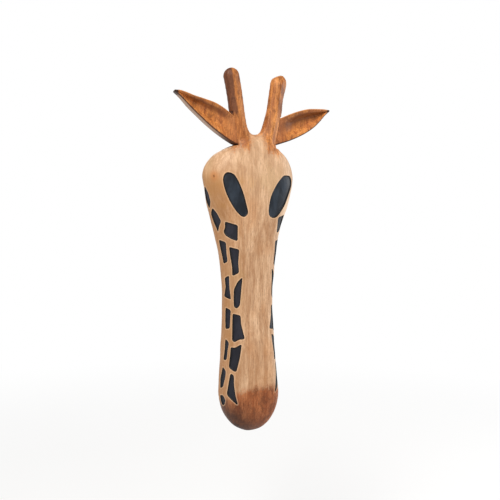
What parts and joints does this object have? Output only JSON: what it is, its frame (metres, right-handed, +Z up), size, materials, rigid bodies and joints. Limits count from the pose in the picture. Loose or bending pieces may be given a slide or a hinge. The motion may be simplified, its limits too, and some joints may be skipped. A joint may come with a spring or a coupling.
{
  "type": "giraffe head wall mask",
  "caption": "Carved wooden giraffe-head wall mask with horns, pegged-on ears, painted eye and coat recesses, a hollowed back and a swinging ring hanger.",
  "frame": {"origin": "on the flat land of the back between the carved hollow and the hanger recess, on the centre line, in the plane that lies against the wall", "axes": "+Z up along the head, +Y into the wall so that the face looks along -Y, +X to the viewer's right"},
  "size_m": [0.2316, 0.0509, 0.4986],
  "materials": {
    "pale_wood": "satin wax",
    "stained_wood": "satin stain",
    "dowel_wood": "bare",
    "hanger_brass": "plated",
    "screw_steel": "zinc plated"
  },
  "bodies": {
    "mask": {"head_block": "pale_wood", "ear_left": "stained_wood", "ear_right": "stained_wood", "ear_peg_left": "dowel_wood", "ear_peg_right": "dowel_wood", "hanger_strap": "hanger_brass", "strap_screw_upper": "screw_steel", "strap_screw_lower": "screw_steel"},
    "ring": {"hanger_ring": "hanger_brass"}
  },
  "joints": [
    {"name": "ring_swing", "type": "hinge", "parent": "mask", "child": "ring", "pos_m": [0, -0.0044, 0.043], "axis": [1, 0, 0], "range_deg": [0, 180]}
  ]
}
